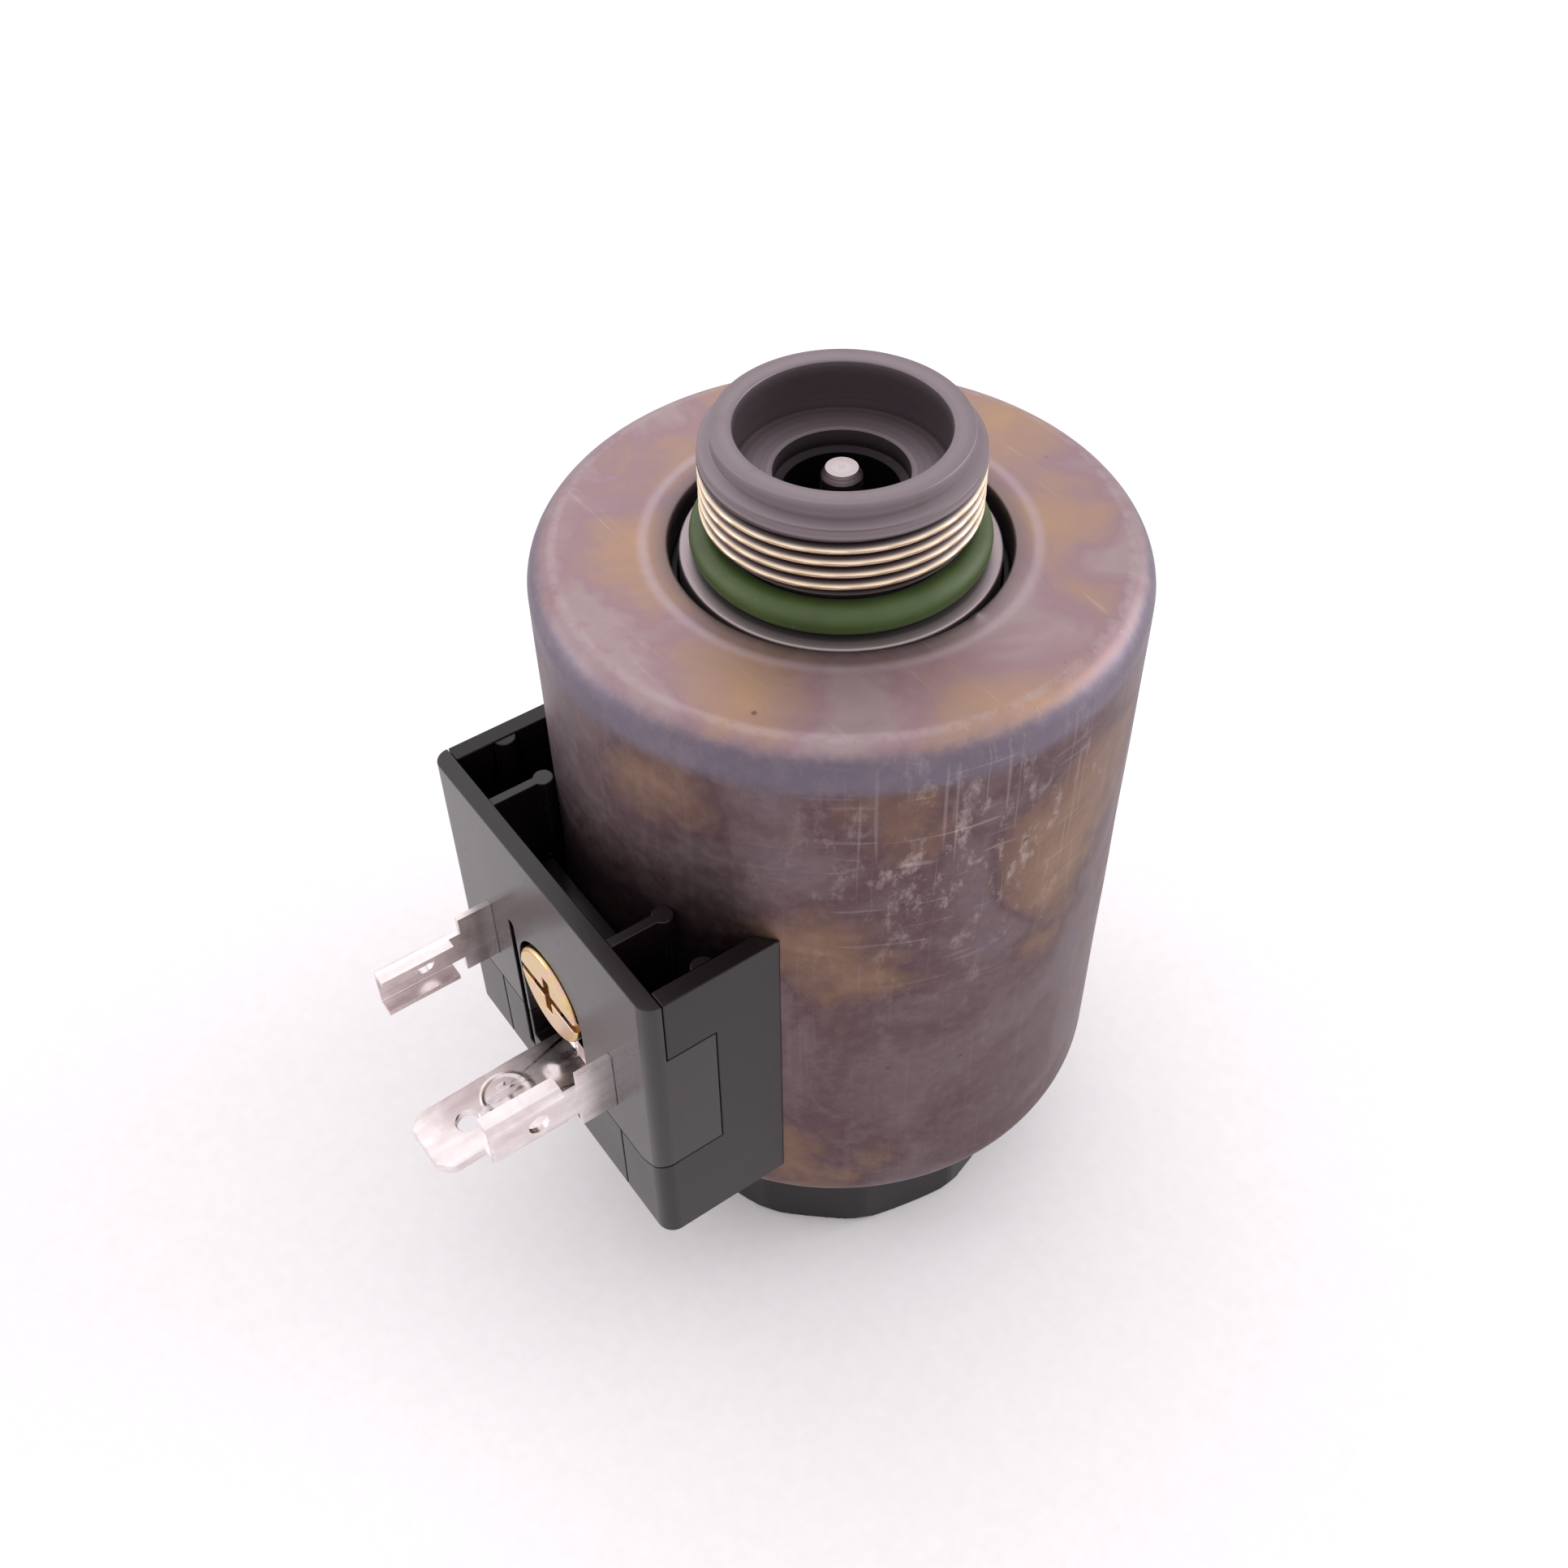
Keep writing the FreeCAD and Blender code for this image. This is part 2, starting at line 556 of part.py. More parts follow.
os.makedirs("parts", exist_ok=True)
for name, shape in PIECES.items():
    solids = shape.Solids
    if len(solids) != 1 or not shape.isValid():
        print("check", name, len(solids), shape.isValid())
    solids[0].exportStep("parts/" + name + ".step")
    box = shape.BoundBox
    print(f"{name:20s} {shape.Volume:9.1f} mm3  z {box.ZMin:7.2f} {box.ZMax:7.2f}")
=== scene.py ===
# %% [markdown]
# # Solenoid actuator of a hydraulic valve
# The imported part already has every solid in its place. This script gives each one its finish, and
# replaces a few whose real surface has more to it than the solid model: the drawn steel can, the
# threaded spigot, the ground blade and the moulded parts with their eased edges.
# Everything is in metres. Lengths read better in millimetres here, so they are written times MM.

import json
from math import cos, pi, radians, sin

import bmesh
import bpy
import numpy as np
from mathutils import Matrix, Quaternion, Vector


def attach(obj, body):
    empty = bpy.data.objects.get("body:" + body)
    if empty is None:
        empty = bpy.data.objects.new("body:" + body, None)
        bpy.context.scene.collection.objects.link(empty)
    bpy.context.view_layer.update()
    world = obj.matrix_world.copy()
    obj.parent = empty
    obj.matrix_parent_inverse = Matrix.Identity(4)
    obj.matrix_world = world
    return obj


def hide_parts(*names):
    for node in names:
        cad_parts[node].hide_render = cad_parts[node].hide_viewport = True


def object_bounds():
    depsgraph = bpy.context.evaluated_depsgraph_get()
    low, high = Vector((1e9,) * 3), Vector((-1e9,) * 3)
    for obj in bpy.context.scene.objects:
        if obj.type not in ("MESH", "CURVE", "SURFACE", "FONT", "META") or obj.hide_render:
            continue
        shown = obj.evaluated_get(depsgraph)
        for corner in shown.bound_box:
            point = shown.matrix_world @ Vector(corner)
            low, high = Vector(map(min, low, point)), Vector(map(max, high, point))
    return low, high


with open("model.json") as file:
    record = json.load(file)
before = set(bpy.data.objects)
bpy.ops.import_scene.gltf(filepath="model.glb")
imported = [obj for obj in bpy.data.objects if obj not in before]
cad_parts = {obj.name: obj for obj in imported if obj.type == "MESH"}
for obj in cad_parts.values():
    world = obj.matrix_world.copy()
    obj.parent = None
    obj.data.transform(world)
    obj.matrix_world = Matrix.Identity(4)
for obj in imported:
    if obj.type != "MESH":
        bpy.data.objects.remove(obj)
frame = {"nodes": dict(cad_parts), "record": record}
cad_low, cad_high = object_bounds()
nodes = frame["nodes"]
MM = 0.001
print("CAD box in mm:", [round(v / MM, 1) for v in (*cad_low, *cad_high)])

# %% [markdown]
# ## Camera
# The actuator is seen from above one corner, so that the spigot's bore, the side of the can and
# the face of the connector all show. A camera looks along its own -Z, so to_track_quat turns that
# towards the target, and a small turn about the same axis gives the slight lean of a hand-held view.

# %% Camera
AZIMUTH, ELEVATION, LEAN = radians(55.0), radians(46.3), radians(-0.8)
TARGET = Vector((-2.46, -3.51, -24.98)) * MM
DISTANCE = 145.1 * MM

camera_data = bpy.data.cameras.new("camera")
camera_data.sensor_width = 36
camera_data.lens = 40.843
camera_data.clip_start = 0.005
camera = bpy.data.objects.new("camera", camera_data)
bpy.context.scene.collection.objects.link(camera)
back = Vector((sin(AZIMUTH) * cos(ELEVATION), -cos(AZIMUTH) * cos(ELEVATION), sin(ELEVATION)))
camera.rotation_mode = "QUATERNION"
camera.location = TARGET + back * DISTANCE
camera.rotation_quaternion = (-back).to_track_quat("-Z", "Y") @ Quaternion((0, 0, 1), LEAN)
bpy.context.scene.camera = camera
bpy.context.scene.view_settings.view_transform = "Standard"
print("camera at, in mm:", [round(v / MM, 1) for v in camera.location])

# %% [markdown]
# ## Light
# Bare metal shows what stands round it more than its own colour, so most of the light is an even
# white tent. One large weak soft box behind the actuator lies in the mirror direction of the can's
# top, a second at the right lights the can's edge, and a third at the left fills the connector.

# %% Light


def soft_box(name, direction, distance, size, power):
    """Square area light in a direction from the can's middle, turned to face it."""
    data = bpy.data.lights.new(name, "AREA")
    data.size = size
    data.energy = power
    light = bpy.data.objects.new(name, data)
    bpy.context.scene.collection.objects.link(light)
    way = Vector(direction).normalized()
    light.location = Vector((0, 0, -0.025)) + way * distance
    light.rotation_euler = (-way).to_track_quat("-Z", "Y").to_euler()


soft_box("back_box", (-0.80, 0.25, 0.85), 0.60, 0.50, 0.34)
soft_box("right_box", (0.45, 0.90, 0.35), 0.55, 0.30, 1.10)
soft_box("left_box", (-0.70, -0.75, 0.30), 0.60, 0.26, 0.60)

world = bpy.data.worlds.new("studio")
world.use_nodes = True
world.node_tree.nodes["Background"].inputs["Color"].default_value = (1.0, 0.955, 0.975, 1)
world.node_tree.nodes["Background"].inputs["Strength"].default_value = 1.04
bpy.context.scene.world = world

# %% [markdown]
# ## Shader maths
# A material is a graph of nodes, which is slow to read as a list of links. Wire holds one output
# socket and lets Python's own operators add the Math nodes, so a mask reads like a formula.
# add() makes any other node: its settings first, then the values or wires of its sockets.

# %% Wire


class Wire:
    """One output socket of a material, with arithmetic."""

    def __init__(self, tree, socket=None):
        self.tree = tree
        self.socket = socket

    def add(self, kind, settings=None, inputs=None, output=0):
        node = self.tree.nodes.new("ShaderNode" + kind)
        for key, value in (settings or {}).items():
            if key == "stops":
                elements = node.color_ramp.elements
                elements[0].position, elements[0].color = value[0][0], (*value[0][1], 1)
                elements[-1].position, elements[-1].color = value[-1][0], (*value[-1][1], 1)
                for position, colour in value[1:-1]:
                    elements.new(position).color = (*colour, 1)
            else:
                setattr(node, key, value)
        for key, value in (inputs or {}).items():
            socket = node.inputs[key]
            if isinstance(value, Wire):
                self.tree.links.new(value.socket, socket)
            elif isinstance(value, tuple) and socket.type == "RGBA":
                socket.default_value = (*value, 1)
            else:
                socket.default_value = value
        return Wire(self.tree, node.outputs[output]) if len(node.outputs) else None

    def math(self, operation, first, second):
        return self.add("Math", {"operation": operation}, {0: first, 1: second})

    def __add__(self, other):
        return self.math("ADD", self, other)

    def __sub__(self, other):
        return self.math("SUBTRACT", self, other)

    def __rsub__(self, other):
        return self.math("SUBTRACT", other, self)

    def __mul__(self, other):
        return self.math("MULTIPLY", self, other)

    def __pow__(self, other):
        return self.math("POWER", self, other)

    __radd__ = __add__
    __rmul__ = __mul__


# %% [markdown]
# A few helpers cover nearly every pattern: noise that can be drawn out into streaks, a soft step
# between two values, a soft band, a colour mix and a colour ramp. Scales are per metre, so grain a
# millimetre wide has a scale near 1000.

# %% Pattern helpers


def noise(place, scale, detail=3.0, rough=0.5, stretch=(1, 1, 1), twist=0.0):
    """Noise from 0 to 1. A small stretch number draws the pattern out along that axis."""
    spot = place.add("Mapping", inputs={"Vector": place, "Scale": stretch})
    look = {"Scale": scale, "Detail": detail, "Roughness": rough, "Distortion": twist}
    return place.add("TexNoise", inputs={"Vector": spot, **look})


def step(value, low, high):
    """0 below low, 1 above high, and smooth between. low above high turns it round."""
    settings = {"interpolation_type": "SMOOTHSTEP"}
    limits = {"From Min": min(low, high), "From Max": max(low, high)}
    rise = value.add("MapRange", settings, {"Value": value, **limits})
    return 1 - rise if low > high else rise


def between(value, start, full, fade, end):
    """0 outside start to end and 1 from full to fade, all given in millimetres."""
    return step(value, start * MM, full * MM) * step(value, end * MM, fade * MM)


def mix(share, first, second):
    """Colour that goes from first to second as share goes from 0 to 1."""
    return share.add("Mix", {"data_type": "RGBA"}, {0: share, 6: first, 7: second}, 2)


def ramp(value, *stops):
    return value.add("ValToRGB", {"stops": stops}, {"Fac": value})


def patch(place, x, y, z, reach):
    """1 at a point given in millimetres, falling to 0 at reach."""
    centre = (x * MM, y * MM, z * MM)
    far = place.add("VectorMath", {"operation": "DISTANCE"}, {0: place, 1: centre}, "Value")
    return step(far, reach * MM, 0.0)


def height_and_radius(place):
    """Height along the tube's axis, and distance from it."""
    x, y, z = (place.add("SeparateXYZ", inputs={0: place}, output=axis) for axis in "XYZ")
    return z, (x * x + y * y) ** 0.5


def finish(name, recipe):
    """Material from a recipe: a function of object coordinates that returns the shader's sockets.
    height and depth in the result make the bump, with depth in millimetres."""
    paint = bpy.data.materials.new(name)
    paint.use_nodes = True
    paint.node_tree.nodes.clear()
    place = Wire(paint.node_tree).add("TexCoord", output="Object")
    sockets = recipe(place)
    bump = {"Height": sockets.pop("height"), "Distance": sockets.pop("depth") * MM}
    sockets["Normal"] = place.add("Bump", inputs=bump)
    shader = place.add("BsdfPrincipled", inputs=sockets)
    place.add("OutputMaterial", inputs={"Surface": shader})
    return paint


# %% [markdown]
# ## Heat-tinted steel
# The can is annealed after drawing, and the oxide film left on it is thin enough to colour the
# light: straw and gold where it was hottest, then violet, then blue-grey. One heat value drives a
# ramp through those colours. It is the sum of a few warm patches and slow noise, so the colours
# follow each other in the right order wherever the heat falls off. The side is darker than the top.

# %% Heat
CAN_R = 22.5


def rim_point(degrees, z):
    """Point on the can's side, in millimetres."""
    return CAN_R * cos(radians(degrees)), CAN_R * sin(radians(degrees)), z


TOP_PATCHES = [(-6.0, -12.8, 0.6, 7.5), (-15.6, -7.0, 0.6, 8.0), (7.8, 13.5, 0.6, 7.0),
               (9.5, -15.8, 0.6, 8.0), (-4.0, 18.5, 0.6, 7.0)]
SIDE_PATCHES = [(*rim_point(-71, -6), 11.0), (*rim_point(-46, -46), 11.0),
                (*rim_point(-42, -20), 12.0), (*rim_point(-28, -5), 9.0),
                (*rim_point(14, -16), 16.0), (*rim_point(120, -20), 18.0),
                (*rim_point(200, -38), 16.0)]
TOP_TINTS = [(0.0, (0.33, 0.265, 0.290)), (0.2, (0.38, 0.290, 0.295)), (0.34, (0.335, 0.228, 0.250)),
             (0.5, (0.385, 0.258, 0.215)), (0.8, (0.43, 0.282, 0.190))]
SIDE_TINTS = [(0.0, (0.150, 0.115, 0.138)), (0.2, (0.150, 0.105, 0.110)), (0.36, (0.110, 0.066, 0.076)),
              (0.55, (0.175, 0.105, 0.080)), (0.9, (0.27, 0.170, 0.112))]


def heat_of(place, patches, grain):
    """Warm patches added up, roughened by slow noise."""
    broken = step(noise(place, 170, 5, 0.6, twist=1.0), 0.15, 0.85)
    warm = 0.0
    for spot in patches:
        warm = patch(place, *spot) + warm
    return grain * 1.5 - 0.50 + warm * (broken * 0.30 + 0.20)


# %% [markdown]
# The marks of use come in two kinds. Rubbing against other parts leaves fine upright and level
# scratches and worn spots, mostly in one zone of the side, and a few hairlines on the top. Pits are
# the middles of scattered cells, kept only where a slow noise allows them.

# %% Marks of use


def scratches(place, on_top):
    """How much a place is rubbed bright, from 0 to 1."""
    rub_zone = patch(place, *rim_point(-12, -11), 17.0) + 0.12
    upright = step(noise(place, 1900, 2, 0.5, (1, 1, 0.03), 0.3), 0.61, 0.70)
    level = step(noise(place, 1300, 2, 0.5, (0.10, 0.10, 1.4)), 0.63, 0.70)
    rubbed = step(noise(place, 420, 5, 0.75, (1, 1, 0.6)), 0.52, 0.68)
    hairline = step(noise(place, 1100, 2, 0.5, (0.06, 1.0, 1), 1.1), 0.67, 0.75)
    on_side = (upright * 0.20 + level * 0.18 + rubbed * 0.36) * rub_zone * (1 - on_top)
    return on_side + hairline * on_top * 0.16


def pitting(place):
    """1 in the middle of a pit and 0 outside."""
    cells = place.add("TexVoronoi", {"feature": "F1"}, {"Vector": place, "Scale": 420.0}, "Distance")
    return step(cells, 0.13, 0.03) * step(noise(place, 160, 1), 0.52, 0.6)


# %% Can steel


def can_steel(place):
    z, radius = height_and_radius(place)
    slow = noise(place, 75, 4, 0.55, twist=0.7)
    fine = noise(place, 900, 5, 0.65)
    grain = noise(place, 3800, 3, 0.6)
    top = ramp(heat_of(place, TOP_PATCHES, slow) + 0.08, *TOP_TINTS)
    side = ramp(heat_of(place, SIDE_PATCHES, slow), *SIDE_TINTS)
    ragged = z + (fine - 0.5) * (0.5 * MM)
    # painted shade: the shoulder's rounding gets a darker colour, standing in for the dark reflection
    # it shows
    painted_shoulder_shade = mix(slow, (0.13, 0.11, 0.145), (0.19, 0.16, 0.20))
    on_top = step(ragged, -0.5 * MM, 0.5 * MM)
    on_shaded_shoulder = step(ragged, -3.4 * MM, -2.0 * MM)
    colour = mix(on_top, mix(on_shaded_shoulder, side, painted_shoulder_shade), top)
    # painted shade: the top darkens towards the hole, where it meets the tube
    shade_near_hole = step(radius, 14.3 * MM, 12.5 * MM)
    colour = mix(shade_near_hole * 0.6, colour, (0.17, 0.14, 0.15))
    lilac = between(radius, 13.5, 14.0, 14.1, 14.8) * on_top
    colour = mix(lilac * 0.4, colour, (0.50, 0.43, 0.48))
    # painted highlight: a light ring, broken up by noise, where the flat top meets the shoulder
    edge_highlight = between(radius, 20.1, 20.5, 20.7, 21.1) * step(fine, 0.35, 0.6)
    colour = mix(edge_highlight * 0.22, colour, (0.58, 0.51, 0.54))
    mottle = step(fine, 0.40, 0.68)
    colour = mix(mottle * 0.10, colour, (0.42, 0.34, 0.34))
    marks = scratches(place, on_top)
    colour = mix(marks, colour, (0.62, 0.54, 0.52))
    pit = pitting(place)
    colour = mix(pit * 0.7, colour, (0.07, 0.055, 0.06))
    height = grain * 0.35 + fine * 0.9 + slow * 1.5 - pit * 1.2 - marks * 0.5
    rough = 0.40 + fine * 0.20 - marks * 0.06
    return {"Base Color": colour, "Metallic": 1.0, "Roughness": rough, "height": height, "depth": 0.012}


CAN_STEEL = finish("heat_tinted_steel", can_steel)

# %% [markdown]
# ## Turned steel
# The spigot comes off a lathe, so its marks are circles about the axis. They are made from noise
# read along radius and height only, because those two stay the same all the way round a circle.
# The thread's crests carry a painted highlight, bright and warm, while its roots, the turn above
# it and the bore's wall and bottom carry painted shade. The push pin has finer marks and is brighter.

# %% Turned steel


def rings(place, z, radius, scale):
    """Noise that is the same all round the axis: its coordinates are radius and height."""
    flat = place.add("CombineXYZ", inputs={"X": radius, "Y": z})
    return noise(flat, scale, 3, 0.6)


def turned_steel(place):
    z, radius = height_and_radius(place)
    cut = rings(place, z, radius, 9000)
    wide = rings(place, z, radius, 1800)
    stain = noise(place, 300, 4, 0.6)
    colour = ramp(wide, (0.3, (0.22, 0.185, 0.202)), (0.7, (0.29, 0.246, 0.265)))
    on_thread = between(z, 2.9, 3.3, 7.55, 7.75) * step(radius, 9.0 * MM, 9.2 * MM)
    # painted highlight on the thread's crests and painted shade in its roots
    crest_highlight = on_thread * step(radius, 9.72 * MM, 9.95 * MM)
    root_shade = on_thread * step(radius, 9.85 * MM, 9.5 * MM)
    colour = mix(root_shade, colour, (0.05, 0.035, 0.032))
    colour = mix(crest_highlight, colour, (0.92, 0.78, 0.58))
    # painted shade in the turned groove above the thread
    run_in_shade = between(z, 7.45, 7.75, 7.95, 8.15) * step(radius, 9.2 * MM, 9.4 * MM)
    colour = mix(run_in_shade * 0.75, colour, (0.09, 0.072, 0.078))
    # painted shade deep in the bore and on its wall
    bore_shade = step(z, 6.0 * MM, 4.6 * MM) * step(radius, 8.2 * MM, 7.6 * MM)
    colour = mix(bore_shade, colour, (0.035, 0.03, 0.035))
    bore_wall_shade = step(z, 9.9 * MM, 9.0 * MM) * between(radius, 7.35, 7.48, 7.6, 7.8)
    colour = mix(bore_wall_shade * 0.65, colour, (0.12, 0.10, 0.11))
    colour = mix(step(stain, 0.55, 0.75) * 0.3, colour, (0.20, 0.16, 0.165))
    # painted light: the collar's top is made lighter against the shade under the O-ring
    painted_collar_light = step(radius, 10.5 * MM, 10.9 * MM) * step(z, -0.6 * MM, -0.1 * MM)
    colour = mix(painted_collar_light * 0.7, colour, (0.52, 0.44, 0.455))
    rough = 0.42 + cut * 0.12 + stain * 0.08 - crest_highlight * 0.2
    height = cut + wide * 0.6
    return {"Base Color": colour, "Metallic": 1.0, "Roughness": rough, "height": height, "depth": 0.008}


TURNED_STEEL = finish("turned_steel", turned_steel)


def bright_pin(place):
    z, radius = height_and_radius(place)
    cut = rings(place, z, radius, 7000)
    colour = ramp(cut, (0.3, (0.40, 0.345, 0.355)), (0.7, (0.66, 0.585, 0.59)))
    return {"Base Color": colour, "Metallic": 1.0, "Roughness": 0.26 + cut * 0.12,
            "height": cut, "depth": 0.010}


BRIGHT_PIN = finish("bright_pin", bright_pin)

# %% [markdown]
# ## Rubber and plastics
# Green fluoro rubber is dull with a little dust in its grain. The connector is glass-filled
# polyamide with a satin surface, which shows flow marks and faint handling scratches, and its face
# plate is smoother and reflects more. The nut is the same family with a coarser grain.

# %% Rubber and plastics


def rubber(dark, light, roughness):
    """Recipe for a dull rubber between two tones."""
    def recipe(place):
        cloud = noise(place, 260, 4, 0.6)
        grain = noise(place, 5200, 3, 0.6)
        dust = step(noise(place, 2600, 2, 0.6), 0.70, 0.78)
        colour = mix(dust * 0.18, ramp(cloud, (0.3, dark), (0.7, light)), (0.45, 0.45, 0.38))
        rough = roughness + cloud * 0.12
        return {"Base Color": colour, "Roughness": rough, "height": grain, "depth": 0.006}
    return recipe


def plastic(tone, roughness, grain_scale, grain_depth, sheen=0.5):
    """Recipe for a moulded plastic. sheen is how strongly it reflects when seen square on."""
    def recipe(place):
        flow = noise(place, 120, 4, 0.6, twist=0.4)
        grain = noise(place, grain_scale, 3, 0.6)
        scuff = step(noise(place, 1400, 2, 0.5, (1, 0.08, 0.6)), 0.66, 0.74)
        specks = step(noise(place, 4200, 1, 0.5), 0.74, 0.80)
        darker = tuple(0.7 * part for part in tone)
        lighter = tuple(2.0 * part + 0.006 for part in tone)
        colour = mix(scuff * 0.3 + specks * 0.3, ramp(flow, (0.3, darker), (0.7, tone)), lighter)
        rough = roughness + flow * 0.10 + scuff * 0.06
        return {"Base Color": colour, "Roughness": rough, "Specular IOR Level": sheen,
                "height": grain + flow * 0.5, "depth": grain_depth}
    return recipe


GREEN_RUBBER = finish("green_rubber", rubber((0.036, 0.066, 0.014), (0.060, 0.098, 0.022), 0.46))
BLACK_RUBBER = finish("black_rubber", rubber((0.010, 0.010, 0.011), (0.022, 0.022, 0.024), 0.5))
CONNECTOR = finish("satin_polyamide",
                   plastic((0.0085, 0.0052, 0.0070), 0.24, 2600, 0.002, 0.34))
FACE_PLATE = finish("polished_polyamide",
                    plastic((0.0095, 0.0058, 0.0080), 0.20, 2600, 0.002, 0.50))
NUT_PLASTIC = finish("grained_polyamide",
                     plastic((0.0050, 0.0042, 0.0058), 0.36, 1700, 0.008, 0.35))
RESIN = finish("coil_resin", plastic((0.030, 0.026, 0.024), 0.42, 900, 0.02))

# %% [markdown]
# ## Sheet metal and the small inside parts
# Tin is bright, with soft spangles and marks drawn out along the strip. Zinc with a yellow
# passivation shifts between gold, pink and green. Bronze, copper and spring steel are only seen
# when the part is taken to pieces, and each still has its own grain.

# %% Sheet metal and inside parts


def metal(dark, light, roughness, stretch, scale=900, depth=0.006):
    """Bare metal between two tones, with streaks drawn out along one axis."""
    def recipe(place):
        streak = noise(place, scale, 4, 0.6, stretch)
        cloud = noise(place, 330, 3, 0.6, twist=0.5)
        spots = step(noise(place, 1900, 3, 0.7), 0.62, 0.74)
        tone = ramp(streak * 0.5 + cloud * 0.5, (0.32, dark), (0.66, light))
        colour = mix(spots * 0.3, tone, dark)
        rough = roughness + cloud * 0.16 + spots * 0.10
        return {"Base Color": colour, "Metallic": 1.0, "Roughness": rough,
                "height": streak + cloud * 0.8, "depth": depth}
    return recipe


def yellow_zinc(place):
    film = noise(place, 420, 3, 0.55, twist=0.8)
    fine = noise(place, 2600, 3, 0.6)
    colour = ramp(film, (0.25, (0.62, 0.50, 0.20)), (0.45, (0.78, 0.56, 0.26)),
                  (0.6, (0.74, 0.50, 0.40)), (0.75, (0.55, 0.52, 0.26)))
    rough = 0.22 + fine * 0.14
    return {"Base Color": colour, "Metallic": 1.0, "Roughness": rough, "height": fine, "depth": 0.008}


TIN = finish("tinned_sheet",
             metal((0.60, 0.52, 0.52), (0.94, 0.87, 0.875), 0.20, (1, 0.08, 1), depth=0.002))
ZINC = finish("yellow_zinc", yellow_zinc)
BRONZE = finish("bronze", metal((0.40, 0.22, 0.10), (0.62, 0.38, 0.20), 0.25, (1, 1, 0.1)))
COPPER = finish("copper_wire",
                metal((0.45, 0.16, 0.07), (0.75, 0.32, 0.17), 0.22, (0.1, 0.1, 4), 1500, 0.05))
SPRING = finish("spring_steel", metal((0.20, 0.19, 0.19), (0.42, 0.41, 0.41), 0.24, (1, 1, 0.2)))

# %% Give each carried-over node its finish
FINISH_OF_SLOT = {"turned_steel": TURNED_STEEL, "can_steel": CAN_STEEL, "barrier_bronze": BRONZE,
                  "bush_bronze": BRONZE, "green_fkm": GREEN_RUBBER, "black_nbr": BLACK_RUBBER,
                  "black_nylon": CONNECTOR, "nut_plastic": NUT_PLASTIC, "tinned_brass": TIN,
                  "yellow_zinc": ZINC, "copper_wire": COPPER, "coil_resin": RESIN,
                  "spring_steel": SPRING}
SLOT_OF_NODE = {row["node"]: row["material_slot"] for row in frame["record"]["subparts"]}
for name, thing in nodes.items():
    paint = BRIGHT_PIN if name == "push_pin" else FINISH_OF_SLOT[SLOT_OF_NODE[name]]
    thing.data.materials.clear()
    thing.data.materials.append(paint)
print(len(nodes), "nodes painted")

# %% [markdown]
# ## Surfaces from grids
# A lathe part is an outline carried round the axis: a grid whose rows follow the outline and whose
# columns follow the angle. With both directions closed there is no pole and no open seam. The
# outline runs counterclockwise as seen with the radius to the right and the axis up, which makes
# every face look outwards.

# %% Grid mesh


def piece_from_grid(name, points, paint, slot, body, *replaced):
    """Closed mesh from points[row, column], in millimetres, joined round both ways."""
    rows, columns = points.shape[:2]
    index = np.arange(rows * columns).reshape(rows, columns)
    ahead = np.roll(index, -1, axis=1)
    corners = [index, ahead, np.roll(ahead, -1, axis=0), np.roll(index, -1, axis=0)]
    quads = np.stack(corners, axis=-1)
    mesh = bpy.data.meshes.new(name)
    mesh.from_pydata((points.reshape(-1, 3) * MM).tolist(), [], quads.reshape(-1, 4).tolist())
    mesh.polygons.foreach_set("use_smooth", np.ones(len(mesh.polygons), bool))
    mesh.set_sharp_from_angle(angle=radians(38))
    thing = bpy.data.objects.new(name, mesh)
    bpy.context.scene.collection.objects.link(thing)
    mesh.materials.append(paint)
    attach(thing, body)
    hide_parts(*replaced)
    print(name, len(mesh.polygons), "faces")


def line(start, end, spacing):
    """Points from start up to but not including end, about spacing apart."""
    start, end = np.array(start, float), np.array(end, float)
    count = max(1, round(np.linalg.norm(end - start) / spacing))
    return start + (end - start) * (np.arange(count) / count)[:, None]


def arc(centre, radius, first, last, count):
    """Points on a circle from angle first to last, in degrees, both included."""
    angle = np.radians(np.linspace(first, last, count))
    return np.array(centre) + radius * np.stack([np.cos(angle), np.sin(angle)], axis=-1)


def bell(distance, width):
    """1 at distance 0, falling to 1/e at width."""
    return np.exp(-(distance / width) ** 2)


def soft_step(value, low, high):
    """0 below low and 1 above high, with the smooth cubic 3t^2 - 2t^3 between."""
    t = np.clip((value - low) / (high - low), 0, 1)
    return t * t * (3 - 2 * t)


# %% [markdown]
# ## The drawn can
# The wall is one outline: the bottom edge rolled in, the side, a rounded shoulder, the top, and
# the hole for the tube. Drawing leaves the metal slightly wavy, pulls it down at the hole inside
# a faint raised ring, and the shoulder meets top and side with a small break. Handling adds a few
# dents. All of that moves the grid's points, so it shows in the outline and not only in the shading.

# %% Can


def can_outline():
    """(r, z) of the can's wall. The shoulder lies between its arc and its chord, which leaves
    a slight break where it meets the top and the side."""
    shoulder = arc((20.3, -1.55), 2.2, 0, 90, 14)
    chord = shoulder[0] + (shoulder[-1] - shoulder[0]) * np.linspace(0, 1, 14)[:, None]
    shoulder = shoulder * 0.8 + chord * 0.2
    hole_edge = arc((12.55, 0.45), 0.2, 90, 180, 5)
    return np.concatenate([
        line((15.0, -52.35), (19.4, -52.35), 0.9), arc((19.4, -49.25), 3.1, -90, 0, 14)[:-1],
        line((22.5, -49.25), (22.5, -1.55), 0.75), shoulder[:-1],
        line((20.3, 0.65), (12.55, 0.65), 0.22), hole_edge[:-1],
        line((12.35, 0.45), (12.35, -2.95), 0.8), line((12.35, -2.95), (20.3, -2.95), 4.0),
        line((20.3, -2.95), (20.3, -50.85), 12.0), line((20.3, -50.85), (15.0, -50.85), 3.0)])


